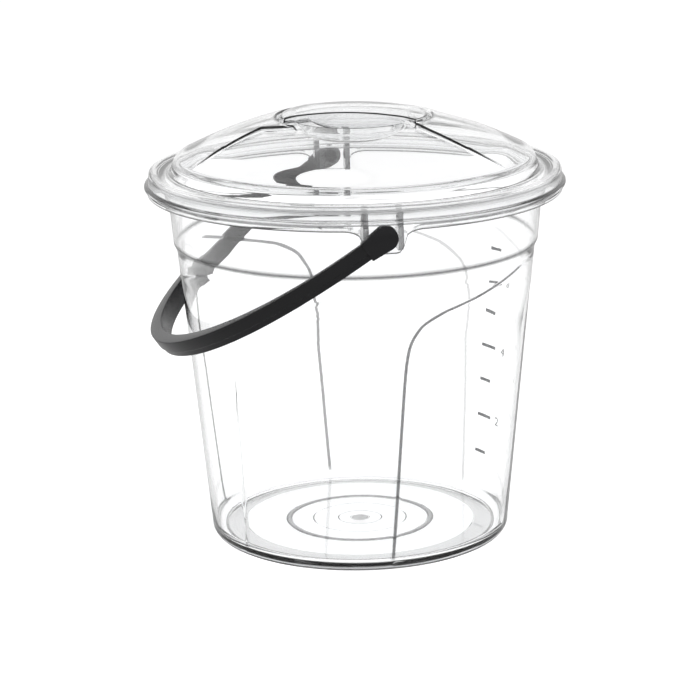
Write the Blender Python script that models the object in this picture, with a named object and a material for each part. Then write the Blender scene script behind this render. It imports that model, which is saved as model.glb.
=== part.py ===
"""Clear plastic bucket with a lift-off domed lid and a black bail handle.

Metres, +Z up, the bucket stands on z = 0 with its axis on Z. The handle's pivots lie on Y.
"""
import math

import bmesh
import bpy
from mathutils import Vector

# Tub: wall, floor and foot
MOUTH_R = 0.1299
UPPER_TAPER = 0.0039
BASE_R = 0.1050
WALL_T = 0.0022
TUB_H = 0.2572
SHOULDER_Z = 0.2045
SHOULDER_H = 0.0055
SHOULDER_STEP = 0.0022
SHOULDER_ROUND_SHARE = 0.2
CORNER_R = 0.0072
FOOT_R = 0.0961
FOOT_H = 0.0030
FLOOR_T = 0.0026
FLOOR_RING_R = 0.0814
FLOOR_RING_H = 0.0004
GATE_RING_R = 0.0501
GATE_RING_W = 0.0025
GATE_RING_H = 0.0009
WALL_TOP_GAP = 0.0010

# Curved relief lines on the outside of the wall
SWEEPS = 6
SWEEP_DEPTH = 0.0010
SWEEP_START_DEG = -82.3
SWEEP_EDGE_W = 0.0016
SWEEP_TOP_Z = 0.2010

# Tub: rim deck, skirt, bead and ears
RIM_W = 0.0101
RIM_T = 0.0020
RIM_INSET = 0.0011
SKIRT_T = 0.0018
BEAD_R = 0.0030
BEAD_TOP_DROP = 0.0094
BEAD_BOTTOM_DROP = 0.0130
RIM_ROUND = 0.0011
EAR_DROP = 0.0150
EAR_HALF_W = 0.0133
EAR_BLEND_W = 0.0112
RIB_HALF_PITCH = 0.0105
RIB_T = 0.0018
RIB_BITE = 0.0010
PIVOT_DROP = 0.0162
PIVOT_HOLE_R = 0.0035

# Lid
LID_GAP = 0.0003
LID_T = 0.0018
LID_LIP_W = 0.0029
LID_LIP_H = 0.0024
LID_SKIRT_DROP = 0.0067
LID_RIM_RISE = 0.0010
LID_EDGE_ROUND = 0.0017
DOME_INSET = 0.0022
DOME_STEP_W = 0.0026
DOME_EDGE_H = 0.0084
DOME_EDGE_ROUND = 0.0034
DOME_H = 0.0293
KNOB_R = 0.0466
KNOB_DRAFT = 0.0010
KNOB_ROUND = 0.0011
KNOB_RISE = 0.0041
KNOB_CROWN = 0.0018
KNOB_DIP = 0.0012
SCOOP_DEG = -103.0
SCOOP_DEPTH = 0.0084
SCOOP_FLAT_DEG = 14.0
SCOOP_END_DEG = 54.0
SCOOP_BLEND_H = 0.0020
WING_INNER_R = 0.0535
WING_BEND_R = 0.0660
WING_OUTER_R = 0.1200
WING_RISE = 0.0037
WING_STEP_W = 0.0026

# Bail handle
REST_TILT_DEG = 35.0
BAIL_REACH = 0.1670
BAIL_LIP_GAP = 0.0006
STRAP_W = 0.0120
GRIP_W = 0.0130
STRAP_T = 0.0045
GRIP_T = 0.0092
LEDGE_H = 0.0012
BOSS_R = 0.0083
BOSS_L = 0.0160
BOSS_PROUD = 0.0016
BOSS_BITE = 0.0005
COLLAR_R = 0.0064
PIN_R = 0.0032
PIN_HEAD_R = 0.0046
PIN_HEAD_T = 0.0012
PIN_GAP = 0.0003

# Counts of divisions
CORNER_STEPS = 5
EAR_GAP_COLUMNS = 25
WING_COLUMNS = 12
DOME_COLUMNS = 24
BAIL_STEPS = 48
ROUND_STEPS = 28

# Shares of one sector of the wall: place across it, and how deep the relief is there
SECTOR_PLACE_SHARES = (0.0, 0.11, 0.22, 0.34, 0.46, 0.58, 0.70, 0.82, 0.91)
SECTOR_DEPTH_POWER_SHARE = 1.4
# Height as a share of the relief's top, and the line's turn there as a share of one sector
SWEEP_SHARES = (
    (0.0, -0.067),
    (0.12, -0.055),
    (0.25, -0.041),
    (0.40, -0.028),
    (0.55, -0.015),
    (0.66, -0.006),
    (0.73, 0.001),
    (0.79, 0.014),
    (0.83, 0.034),
    (0.865, 0.083),
    (0.893, 0.150),
    (0.920, 0.285),
    (0.944, 0.440),
    (0.966, 0.600),
    (0.985, 0.720),
    (1.0, 0.800),
)
SWEEP_FADE_SHARE = 0.86
# Across half an ear, as a share of its half width plus blend, and the drop there as a share of the ear's
EAR_SHARES = (
    (0.0, 1.0),
    (0.18, 1.0),
    (0.33, 1.0),
    (0.44, 0.965),
    (0.51, 0.88),
    (0.543, 0.74),
    (0.56, 0.42),
    (0.64, 0.22),
    (0.75, 0.10),
    (0.88, 0.03),
    (1.0, 0.0),
)
# Radii of the dome's rows, as shares of the dome's radius
DOME_ROW_SHARES = (0.505, 0.545, 0.585, 0.62, 0.655, 0.70, 0.76, 0.83, 0.90, 0.95)
# The dome's rounded edge: how far in from it, and how far down, as shares of its rounding
DOME_EDGE_SHARES = (
    (1.0, 0.0),
    (0.55, 0.12),
    (0.2, 0.45),
    (0.0, 1.0),
)
# Radii of the knob's rows inside its rim, as shares of its radius
KNOB_ROW_SHARES = (0.4, 0.7, 0.9)
# The edges of a wing, in degrees at its bend and at its outer end
WING_FRONT_DEG = (-47.0, -41.7)
WING_REAR_DEG = (12.0, 19.0)
WING_REAR_BEND_DEG = 24.0

TURN_DEG = 360.0
HALF_TURN_DEG = TURN_DEG / 2
EAR_DEG = (90.0, 270.0)


def clear_scene():
    for thing in list(bpy.data.objects):
        bpy.data.objects.remove(thing, do_unlink=True)


def plastic(name, color, roughness, transmission, ior):
    material = bpy.data.materials.new(name)
    material.use_nodes = True
    shader = material.node_tree.nodes["Principled BSDF"]
    shader.inputs["Base Color"].default_value = (*color, 1.0)
    shader.inputs["Roughness"].default_value = roughness
    shader.inputs["Transmission Weight"].default_value = transmission
    shader.inputs["IOR"].default_value = ior
    return material


def smooth_step(value, low, high):
    share = min(1.0, max(0.0, (value - low) / (high - low)))
    return share * share * (3 - 2 * share)


def from_table(table, place):
    """The value at a place, along straight lines between a table's points."""
    before = table[0]
    for after in table[1:]:
        if place <= after[0]:
            share = (place - before[0]) / (after[0] - before[0])
            return before[1] + max(0.0, share) * (after[1] - before[1])
        before = after
    return before[1]


def polar(radius, degrees, height):
    angle = math.radians(degrees)
    return Vector((radius * math.cos(angle), radius * math.sin(angle), height))


def skin(name, rows, material, poles=None):
    """A closed surface through rings of points. Without poles the last ring meets the first."""
    mesh = bmesh.new()
    rings = [[mesh.verts.new(point) for point in row] for row in rows]
    count = len(rings[0])
    pairs = list(zip(rings, rings[1:]))
    if poles is None:
        pairs.append((rings[-1], rings[0]))
    for lower, upper in pairs:
        for i in range(count):
            j = (i + 1) % count
            mesh.faces.new((lower[i], lower[j], upper[j], upper[i]))
    if poles is not None:
        first, last = (mesh.verts.new(point) for point in poles)
        for i in range(count):
            j = (i + 1) % count
            mesh.faces.new((first, rings[0][j], rings[0][i]))
            mesh.faces.new((last, rings[-1][i], rings[-1][j]))
    bmesh.ops.triangulate(mesh, faces=mesh.faces[:], quad_method="SHORT_EDGE")
    bmesh.ops.recalc_face_normals(mesh, faces=mesh.faces[:])
    if mesh.calc_volume(signed=True) < 0:
        bmesh.ops.reverse_faces(mesh, faces=mesh.faces[:])
    data = bpy.data.meshes.new(name)
    mesh.to_mesh(data)
    mesh.free()
    thing = bpy.data.objects.new(name, data)
    thing.data.materials.append(material)
    bpy.context.scene.collection.objects.link(thing)
    return thing


def prism(name, outline, offset, material):
    """A closed solid from a flat outline and the same outline moved by an offset."""
    mesh = bmesh.new()
    near = [mesh.verts.new(point) for point in outline]
    far = [mesh.verts.new(point + offset) for point in outline]
    mesh.faces.new(near)
    mesh.faces.new(far[::-1])
    for i in range(len(near)):
        j = (i + 1) % len(near)
        mesh.faces.new((near[j], near[i], far[i], far[j]))
    bmesh.ops.recalc_face_normals(mesh, faces=mesh.faces[:])
    if mesh.calc_volume(signed=True) < 0:
        bmesh.ops.reverse_faces(mesh, faces=mesh.faces[:])
    data = bpy.data.meshes.new(name)
    mesh.to_mesh(data)
    mesh.free()
    thing = bpy.data.objects.new(name, data)
    thing.data.materials.append(material)
    bpy.context.scene.collection.objects.link(thing)
    return thing


def combine(body, tools, operation):
    """Joins or cuts with each tool in turn, then removes the tools."""
    for tool in tools:
        step = body.modifiers.new("combine", "BOOLEAN")
        step.operation = operation
        step.solver = "EXACT"
        step.object = tool
        bpy.context.view_layer.update()
        graph = bpy.context.evaluated_depsgraph_get()
        made = bpy.data.meshes.new_from_object(body.evaluated_get(graph))
        body.modifiers.clear()
        body.data = made
        bpy.data.objects.remove(tool, do_unlink=True)


def shade(thing, crease_deg):
    for face in thing.data.polygons:
        face.use_smooth = True
    thing.data.set_sharp_from_angle(angle=math.radians(crease_deg))


def arc(center_r, center_z, radius, start_deg, end_deg, steps):
    """Points of an arc in the plane of radius and height."""
    points = []
    for i in range(steps + 1):
        angle = math.radians(start_deg + (end_deg - start_deg) * i / steps)
        points.append((center_r + radius * math.cos(angle), center_z + radius * math.sin(angle)))
    return points


# Tub

SECTOR_DEG = TURN_DEG / SWEEPS
MOUTH_EDGE_Z = TUB_H - WALL_TOP_GAP
SHOULDER_TOP_Z = SHOULDER_Z + SHOULDER_H
SHOULDER_TOP_R = MOUTH_R - UPPER_TAPER
SHOULDER_R = SHOULDER_TOP_R - SHOULDER_STEP


def cone_r(height):
    """The wall's outer radius below the shoulder, relief left out."""
    share = (height - CORNER_R) / (SHOULDER_Z - CORNER_R)
    return BASE_R + (SHOULDER_R - BASE_R) * share


def sector_columns(radius):
    """Places across one sector, with a narrow pair where the relief steps down."""
    edge = SWEEP_EDGE_W / (radius * math.radians(SECTOR_DEG))
    first, *others = SECTOR_PLACE_SHARES
    return (first, edge, *others)


def wall_row(height):
    """The outer wall's ring at this height, with its relief."""
    share = min(1.0, height / SWEEP_TOP_Z)
    turn = from_table(SWEEP_SHARES, share) * SECTOR_DEG
    fade = 1 - smooth_step(share, SWEEP_FADE_SHARE, 1.0)
    radius = cone_r(height)
    row = []
    for sector in range(SWEEPS):
        for i, place in enumerate(sector_columns(radius)):
            degrees = SWEEP_START_DEG + turn + (sector + place) * SECTOR_DEG
            depth = 0.0 if i == 0 else SWEEP_DEPTH * fade * (1 - place) ** SECTOR_DEPTH_POWER_SHARE
            row.append(polar(radius - depth, degrees, height))
    return row


def plain_row(radius, height, top):
    """A ring with the same columns as the wall's lowest or highest relief ring."""
    turn = SWEEP_SHARES[-1 if top else 0][1] * SECTOR_DEG
    row = []
    for sector in range(SWEEPS):
        for place in sector_columns(cone_r(SWEEP_TOP_Z if top else CORNER_R)):
            row.append(polar(radius, SWEEP_START_DEG + turn + (sector + place) * SECTOR_DEG, height))
    return row


def tub_wall(material):
    half_gate = GATE_RING_W / 2
    under = [
        (GATE_RING_R - half_gate - GATE_RING_H, FOOT_H + FLOOR_RING_H),
        (GATE_RING_R - half_gate, FOOT_H + FLOOR_RING_H - GATE_RING_H),
        (GATE_RING_R + half_gate, FOOT_H + FLOOR_RING_H - GATE_RING_H),
        (GATE_RING_R + half_gate + GATE_RING_H, FOOT_H + FLOOR_RING_H),
        (FLOOR_RING_R, FOOT_H + FLOOR_RING_H),
        (FLOOR_RING_R + FLOOR_RING_H, FOOT_H),
        (FOOT_R - FOOT_H / 2, FOOT_H),
        (FOOT_R, 0.0),
    ]
    corner = arc(BASE_R - CORNER_R, CORNER_R, CORNER_R, -90, 0, CORNER_STEPS)
    rows = [plain_row(radius, height, False) for radius, height in under + corner[:-1]]
    for share, _ in SWEEP_SHARES:
        height = CORNER_R + (SWEEP_TOP_Z - CORNER_R) * share
        rows.append(wall_row(height))
    inner_step = WALL_T / 2
    round_w = SHOULDER_STEP * SHOULDER_ROUND_SHARE
    round_h = SHOULDER_H * SHOULDER_ROUND_SHARE
    upper = [
        (SHOULDER_R, SHOULDER_Z),
        (SHOULDER_R + round_w, SHOULDER_Z + round_h),
        (SHOULDER_TOP_R - round_w, SHOULDER_TOP_Z - round_h),
        (SHOULDER_TOP_R, SHOULDER_TOP_Z),
        (MOUTH_R, MOUTH_EDGE_Z),
        (MOUTH_R - WALL_T, MOUTH_EDGE_Z),
        (SHOULDER_TOP_R - WALL_T, SHOULDER_TOP_Z - inner_step),
        (SHOULDER_R - WALL_T, SHOULDER_Z - inner_step),
    ]
    floor_z = FOOT_H + FLOOR_RING_H + FLOOR_T
    inner_r = BASE_R - WALL_T
    inner_corner = arc(inner_r - CORNER_R, floor_z + CORNER_R, CORNER_R, 0, -90, CORNER_STEPS)
    rows += [plain_row(radius, height, True) for radius, height in upper + inner_corner]
    rows.append(plain_row(GATE_RING_R, floor_z, True))
    poles = (Vector((0, 0, FOOT_H + FLOOR_RING_H)), Vector((0, 0, floor_z)))
    return skin("tub", rows, material, poles)


SKIRT_R = MOUTH_R + RIM_W
BEAD_OUT_R = SKIRT_R + BEAD_R
BEAD_TOP_Z = TUB_H - BEAD_TOP_DROP
BEAD_BOTTOM_Z = TUB_H - BEAD_BOTTOM_DROP
PIVOT_Z = TUB_H - PIVOT_DROP


def ear_columns():
    """Pairs of angle and ear drop, all the way round the rim."""
    spread = math.degrees(math.asin((EAR_HALF_W + EAR_BLEND_W) / BEAD_OUT_R))
    columns = []
    for middle in EAR_DEG:
        half = [(place * spread, share * EAR_DROP) for place, share in EAR_SHARES]
        columns += [(middle - place, drop) for place, drop in half[:0:-1]]
        columns += [(middle + place, drop) for place, drop in half]
        gap = HALF_TURN_DEG - 2 * spread
        columns += [(middle + spread + gap * i / EAR_GAP_COLUMNS, 0.0) for i in range(1, EAR_GAP_COLUMNS)]
    return columns


def tub_rim(material):
    inner_r = MOUTH_R - RIM_INSET
    profile = [
        (inner_r, TUB_H - RIM_T, 0),
        (inner_r, TUB_H, 0),
        (SKIRT_R - RIM_ROUND, TUB_H, 0),
        (SKIRT_R, TUB_H - RIM_ROUND, 0),
        (SKIRT_R, BEAD_TOP_Z, 0),
        (BEAD_OUT_R - BEAD_R / 4, BEAD_TOP_Z - BEAD_R / 4, 0),
        (BEAD_OUT_R, BEAD_TOP_Z - BEAD_R / 2, 0),
        (BEAD_OUT_R, BEAD_BOTTOM_Z, 1),
        (BEAD_OUT_R - SKIRT_T, BEAD_BOTTOM_Z, 1),
        (BEAD_OUT_R - SKIRT_T, BEAD_TOP_Z - SKIRT_T, 0),
        (SKIRT_R - SKIRT_T, BEAD_TOP_Z + SKIRT_T / 2, 0),
        (SKIRT_R - SKIRT_T, TUB_H - RIM_T, 0),
    ]
    columns = ear_columns()
    rows = [[polar(r, deg, z - drop * hangs) for deg, drop in columns] for r, z, hangs in profile]
    return skin("rim", rows, material)


def ear_rib(side_deg, offset, material):
    """One upright rib between the wall and an ear, square to the pivot's axis."""
    wall_low = MOUTH_R - WALL_T - RIB_BITE
    rib_low = BEAD_BOTTOM_Z - EAR_DROP + RIB_T
    ear_foot = rib_low + RIB_T
    far = BEAD_OUT_R - RIB_BITE
    outline = [
        (wall_low, rib_low),
        (far - EAR_DROP / 4, rib_low),
        (far, ear_foot),
        (far, BEAD_TOP_Z - SKIRT_T),
        (SKIRT_R - RIB_BITE, BEAD_TOP_Z + SKIRT_T / 2),
        (SKIRT_R - RIB_BITE, TUB_H - RIM_T / 2),
        (MOUTH_R - RIB_BITE, TUB_H - RIM_T / 2),
    ]
    turn = math.radians(side_deg)
    along = Vector((math.cos(turn), math.sin(turn), 0))
    across = Vector((-math.sin(turn), math.cos(turn), 0))
    points = []
    for r, z in outline:
        reach = math.sqrt(r * r - offset * offset)
        points.append(along * reach + across * (offset - RIB_T / 2) + Vector((0, 0, z)))
    return prism("rib", points, across * RIB_T, material)


def round_bar(name, profile, axis_sign, material):
    """A turned solid on the pivot's axis. The profile lists radius and distance from the tub's axis."""
    rows = []
    for radius, reach in profile:
        row = []
        for i in range(ROUND_STEPS):
            angle = math.tau * i / ROUND_STEPS
            row.append(Vector((radius * math.cos(angle), axis_sign * reach, PIVOT_Z + radius * math.sin(angle))))
        rows.append(row)
    ends = [Vector((0, axis_sign * reach, PIVOT_Z)) for reach in (profile[0][1], profile[-1][1])]
    return skin(name, rows, material, ends)


def make_tub(material):
    tub = tub_wall(material)
    ribs = []
    for side in EAR_DEG:
        for offset in (-RIB_HALF_PITCH, RIB_HALF_PITCH):
            ribs.append(ear_rib(side, offset, material))
    combine(tub, [tub_rim(material), *ribs], "UNION")
    near = BEAD_OUT_R - 2 * SKIRT_T - RIM_W / 4
    hole = [(PIVOT_HOLE_R, near), (PIVOT_HOLE_R, BEAD_OUT_R + SKIRT_T)]
    combine(tub, [round_bar("hole", hole, sign, material) for sign in (-1, 1)], "DIFFERENCE")
    return tub


# Lid

LID_UNDER_Z = TUB_H + LID_GAP
LID_INNER_R = SKIRT_R + LID_GAP
LID_SKIRT_R = LID_INNER_R + LID_T
LID_LIP_R = LID_SKIRT_R + LID_LIP_W
LID_TOP_Z = LID_UNDER_Z + LID_T
LIP_TOP_Z = LID_UNDER_Z - LID_SKIRT_DROP
LIP_BOTTOM_Z = LIP_TOP_Z - LID_LIP_H
DOME_FOOT_R = MOUTH_R - DOME_INSET
DOME_R = DOME_FOOT_R - DOME_STEP_W
DOME_EDGE_Z = LID_TOP_Z + DOME_EDGE_H
KNOB_FOOT_R = KNOB_R + KNOB_DRAFT


def dome_height(radius):
    return DOME_EDGE_Z + DOME_H * (1 - (radius / DOME_R) ** 2)


SCOOP_FLOOR_Z = dome_height(KNOB_FOOT_R) - SCOOP_DEPTH
KNOB_RIM_Z = dome_height(KNOB_FOOT_R) + KNOB_RISE


def soft_min(first, second, blend):
    """The lower of two heights, rounded where they meet."""
    share = min(1.0, max(0.0, (second - first) / (2 * blend) + 1 / 2))
    return second + (first - second) * share - blend * share * (1 - share)


def from_scoop(degrees):
    """The angle from the nearer finger scoop's middle. There is one in front and one behind."""
    return abs((degrees - SCOOP_DEG + HALF_TURN_DEG / 2) % HALF_TURN_DEG - HALF_TURN_DEG / 2)


def scoop_floor(degrees):
    """The scoop's floor, which climbs to the dome at both ends."""
    climb = smooth_step(from_scoop(degrees), SCOOP_FLAT_DEG, SCOOP_END_DEG)
    return SCOOP_FLOOR_Z + (SCOOP_DEPTH + 2 * SCOOP_BLEND_H) * climb


def knob_height(radius, degrees):
    """The knob's top: crowned, with its rim a little lower over each scoop."""
    share = min(1.0, radius / KNOB_R)
    dip = KNOB_DIP * (1 - smooth_step(from_scoop(degrees), 0.0, SCOOP_END_DEG))
    return KNOB_RIM_Z + KNOB_CROWN * (1 - share * share) - dip * share * share


def wing_edges(radius):
    """The angles of a wing's two edges on this ring."""
    outward = (radius - WING_BEND_R) / (WING_OUTER_R - WING_BEND_R)
    bend = min(1.0, max(0.0, (WING_BEND_R - radius) / (WING_BEND_R - WING_INNER_R)))
    outward = max(0.0, outward)
    front = WING_FRONT_DEG[0] + (WING_FRONT_DEG[1] - WING_FRONT_DEG[0]) * outward
    rear = WING_REAR_DEG[0] + (WING_REAR_DEG[1] - WING_REAR_DEG[0]) * outward
    return front, rear + WING_REAR_BEND_DEG * bend


def spaced(first, last, count, value):
    """Angles after the first up to the last, each with the same value."""
    return [(first + (last - first) * (i + 1) / count, value) for i in range(count)]


def lid_columns(radius):
    """Pairs of angle and wing share, all the way round. Columns run along both edges of each wing."""
    front, rear = wing_edges(max(radius, WING_INNER_R))
    half_step = math.degrees(WING_STEP_W / max(radius, WING_INNER_R)) / 2
    columns = []
    for turn in (0.0, HALF_TURN_DEG):
        low, high = turn + front, turn + rear
        columns.append((low + half_step, 1.0))
        columns += spaced(low + half_step, high - half_step, WING_COLUMNS, 1.0)
        columns.append((high + half_step, 0.0))
        columns += spaced(high + half_step, low + HALF_TURN_DEG - half_step, DOME_COLUMNS, 0.0)
    return columns


def lid_row(radius):
    """The ring of the lid's upper face at this radius, outside the knob."""
    inner = smooth_step(radius, WING_INNER_R - WING_STEP_W / 2, WING_INNER_R + WING_STEP_W / 2)
    fade = min(1.0, max(0.0, (WING_OUTER_R - radius) / (WING_OUTER_R - WING_INNER_R)))
    row = []
    for degrees, wing in lid_columns(radius):
        base = soft_min(dome_height(radius), scoop_floor(degrees), SCOOP_BLEND_H)
        row.append((radius, degrees, base + WING_RISE * wing * inner * fade))
    return row


def knob_rows():
    """The rings of the knob's top and wall, from its middle out."""
    rows = []
    for share in KNOB_ROW_SHARES:
        radius = KNOB_R * share
        rows.append([(radius, deg, knob_height(radius, deg)) for deg, _ in lid_columns(radius)])
    for inset, drop in ((KNOB_ROUND, 0.0), (0.0, KNOB_ROUND)):
        radius = KNOB_R - inset
        rows.append([(radius, deg, knob_height(radius, deg) - drop) for deg, _ in lid_columns(radius)])
    rows.append(lid_row(KNOB_FOOT_R))
    return rows


def under(row, inset):
    """A ring of the lower face: set in by a wall inside the knob, and a wall lower."""
    return [(radius - inset * radius / KNOB_FOOT_R, deg, z - LID_T) for radius, deg, z in row]


def make_lid(material):
    knob = knob_rows()
    inner_edge = (WING_INNER_R - WING_STEP_W / 2, WING_INNER_R + WING_STEP_W / 2)
    dome = [lid_row(radius) for radius in inner_edge]
    dome += [lid_row(share * DOME_R) for share in DOME_ROW_SHARES]
    angles = [deg for deg, _ in lid_columns(DOME_R)]
    edge = []
    for inset_share, drop_share in DOME_EDGE_SHARES:
        radius = DOME_R - DOME_EDGE_ROUND * inset_share
        edge.append((radius, dome_height(radius) - DOME_EDGE_ROUND * drop_share))
    outside = [
        (DOME_FOOT_R, LID_TOP_Z),
        (SKIRT_R - LID_EDGE_ROUND, LID_TOP_Z + LID_RIM_RISE),
        (LID_SKIRT_R - LID_EDGE_ROUND / 4, LID_TOP_Z),
        (LID_SKIRT_R, LID_TOP_Z - LID_EDGE_ROUND),
        (LID_SKIRT_R, LIP_TOP_Z + LID_RIM_RISE),
        (LID_LIP_R, LIP_TOP_Z),
        (LID_LIP_R, LIP_BOTTOM_Z),
        (LID_INNER_R, LIP_BOTTOM_Z),
        (LID_INNER_R, LID_UNDER_Z),
        (DOME_FOOT_R - LID_T, LID_UNDER_Z),
    ]
    edge_under = [(radius - LID_T, z - LID_T) for radius, z in edge[::-1]]
    rows = knob + dome
    rows += [[(radius, deg, z) for deg in angles] for radius, z in edge + outside + edge_under]
    rows += [under(row, 0.0) for row in dome[::-1]]
    rows += [under(row, LID_T) for row in knob[::-1]]
    crown = KNOB_RIM_Z + KNOB_CROWN
    poles = (Vector((0, 0, crown)), Vector((0, 0, crown - LID_T)))
    return skin("lid", [[polar(*point) for point in row] for row in rows], material, poles)


# Bail handle

HUB_INNER_Y = LID_LIP_R + BAIL_LIP_GAP
ARM_Y = HUB_INNER_Y + STRAP_T / 2 + BOSS_BITE
HUB_OUTER_Y = HUB_INNER_Y + STRAP_T + BOSS_PROUD


def bail_frame():
    """The direction that the handle hangs in, and the normal of its plane."""
    tilt = math.radians(REST_TILT_DEG)
    hang = Vector((-math.cos(tilt), 0, -math.sin(tilt)))
    return hang, Vector((math.sin(tilt), 0, -math.cos(tilt)))


def strap_row(angle):
    """The handle's cross-section at an angle along its arch. The outer face has a ledge along it."""
    hang, normal = bail_frame()
    side = Vector((0, 1, 0))
    arch = math.sin(angle)
    center = hang * (BAIL_REACH * arch) + side * (ARM_Y * math.cos(angle)) + Vector((0, 0, PIVOT_Z))
    outward = (hang * (arch * ARM_Y) + side * (math.cos(angle) * BAIL_REACH)).normalized()
    grip = smooth_step(arch, 0.25, 0.9)
    half_w = (STRAP_W + (GRIP_W - STRAP_W) * grip) / 2
    half_t = (STRAP_T + (GRIP_T - STRAP_T) * grip) / 2
    cut = LEDGE_H / 2
    ledge = half_w * 0.3
    section = (
        (half_t, cut - half_w),
        (half_t, ledge),
        (half_t - LEDGE_H, ledge + cut),
        (half_t - LEDGE_H, half_w - cut),
        (half_t - LEDGE_H - cut, half_w),
        (cut - half_t, half_w),
        (-half_t, half_w - cut),
        (-half_t, cut - half_w),
        (cut - half_t, -half_w),
        (half_t - cut, -half_w),
    )
    return [center + outward * across + normal * along for across, along in section]


def hub_block(sign, material):
    """The rounded block at a handle's end, flat towards the bucket."""
    hang, normal = bail_frame()
    center = Vector((0, sign * HUB_INNER_Y, PIVOT_Z))
    points = []
    half = ROUND_STEPS // 2
    for i in range(half + 1):
        angle = math.pi / 2 + math.pi * i / half
        points.append(center + (hang * math.cos(angle) + normal * math.sin(angle)) * BOSS_R)
    end_w = (STRAP_W + BOSS_PROUD) / 2
    points.append(center + hang * BOSS_L - normal * end_w)
    points.append(center + hang * BOSS_L + normal * end_w)
    return prism("hub", points, Vector((0, sign * (HUB_OUTER_Y - HUB_INNER_Y), 0)), material)


def pin(sign, material):
    """The hub's collar, the pin through the ear and the head behind it."""
    inner_face = math.sqrt((BEAD_OUT_R - SKIRT_T) ** 2 - PIN_HEAD_R**2) - PIN_GAP
    profile = [
        (PIN_HEAD_R, inner_face - PIN_HEAD_T),
        (PIN_HEAD_R, inner_face),
        (PIN_R, inner_face),
        (PIN_R, BEAD_OUT_R + PIN_GAP),
        (COLLAR_R, BEAD_OUT_R + PIN_GAP),
        (COLLAR_R, HUB_INNER_Y + STRAP_T / 2),
    ]
    return round_bar("pin", profile, sign, material)


def make_bail(material):
    start = math.asin(BOSS_L / 3 / BAIL_REACH)
    rows = []
    for i in range(BAIL_STEPS + 1):
        rows.append(strap_row(start + (math.pi - 2 * start) * i / BAIL_STEPS))
    ends = [sum(rows[k], Vector()) / len(rows[k]) for k in (0, -1)]
    bail = skin("bail_handle", rows, material, ends)
    tools = []
    for sign in (-1, 1):
        tools += [hub_block(sign, material), pin(sign, material)]
    combine(bail, tools, "UNION")
    pivot = Vector((0, 0, PIVOT_Z))
    for vertex in bail.data.vertices:
        vertex.co -= pivot
    bail.location = pivot
    return bail


clear_scene()
clear = plastic("clear_plastic", (0.93, 0.95, 0.95), 0.05, 0.9, 1.49)
lid_clear = plastic("lid_clear_plastic", (0.93, 0.95, 0.95), 0.05, 0.9, 1.49)
black = plastic("black_plastic", (0.02, 0.02, 0.022), 0.45, 0.0, 1.46)
shade(make_tub(clear), 35)
shade(make_lid(lid_clear), 35)
shade(make_bail(black), 35)
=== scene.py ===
# %% [markdown]
# # A clear lidded bucket
# The bucket is three mouldings: a clear tub, a clear domed lid and a black bail handle. The fixed
# frame holds their true sizes, and the cells below build a finer piece over each of them. The
# pieces' sizes are in millimetres and degrees. The studio's are in metres.

# %% Load the frame
import math

import bpy
import numpy as np
from mathutils import Matrix, Vector


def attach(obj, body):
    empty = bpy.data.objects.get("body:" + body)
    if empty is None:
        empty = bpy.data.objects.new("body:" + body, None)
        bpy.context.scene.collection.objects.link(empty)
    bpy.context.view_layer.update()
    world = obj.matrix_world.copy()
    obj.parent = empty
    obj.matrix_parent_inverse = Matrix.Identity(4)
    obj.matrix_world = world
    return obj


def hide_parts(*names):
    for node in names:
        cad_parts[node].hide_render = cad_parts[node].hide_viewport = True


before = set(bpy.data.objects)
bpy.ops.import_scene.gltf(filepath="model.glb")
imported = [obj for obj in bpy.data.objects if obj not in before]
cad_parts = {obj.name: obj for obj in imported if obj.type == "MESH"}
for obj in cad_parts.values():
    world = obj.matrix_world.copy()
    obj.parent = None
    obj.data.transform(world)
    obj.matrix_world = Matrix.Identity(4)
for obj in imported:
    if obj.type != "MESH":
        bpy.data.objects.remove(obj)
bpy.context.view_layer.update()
print("frame nodes:", sorted(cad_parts))

# %% [markdown]
# Every round piece starts as a profile that is spun about the axis, the way a turner works. The
# profile is a circle primitive whose points are put in place one by one. The spin's seam is merged
# and its faces are turned outwards. Flat pieces are a filled outline that is extruded.

# %% Helpers for selecting and closing a mesh
MM = 0.001
MERGE = 1e-6
START_R = 0.1


def deselect_all():
    if bpy.context.object and bpy.context.object.mode != "OBJECT":
        bpy.ops.object.mode_set(mode="OBJECT")
    bpy.ops.object.select_all(action="DESELECT")


def activate(piece):
    deselect_all()
    bpy.context.view_layer.objects.active = piece
    piece.select_set(True)


def outward(piece):
    """Merges doubles and turns the faces outwards."""
    activate(piece)
    bpy.ops.object.mode_set(mode="EDIT")
    bpy.ops.mesh.select_all(action="SELECT")
    bpy.ops.mesh.remove_doubles(threshold=MERGE)
    bpy.ops.mesh.normals_make_consistent(inside=False)
    bpy.ops.object.mode_set(mode="OBJECT")


def smooth(piece, crease):
    activate(piece)
    bpy.ops.object.shade_smooth_by_angle(angle=math.radians(crease))


def apply_modifier(piece, kind, **settings):
    activate(piece)
    modifier = piece.modifiers.new(kind.lower(), kind)
    for key, value in settings.items():
        setattr(modifier, key, value)
    bpy.ops.object.modifier_apply(modifier=modifier.name)


def join_or_cut(piece, tool, operation):
    apply_modifier(piece, "BOOLEAN", object=tool, operation=operation, solver="EXACT")
    bpy.data.objects.remove(tool, do_unlink=True)


def joined(pieces):
    """Joins separate closed pieces into one object."""
    deselect_all()
    for piece in pieces:
        piece.select_set(True)
    bpy.context.view_layer.objects.active = pieces[0]
    bpy.ops.object.join()
    return pieces[0]


print("mesh helpers ready")

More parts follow.
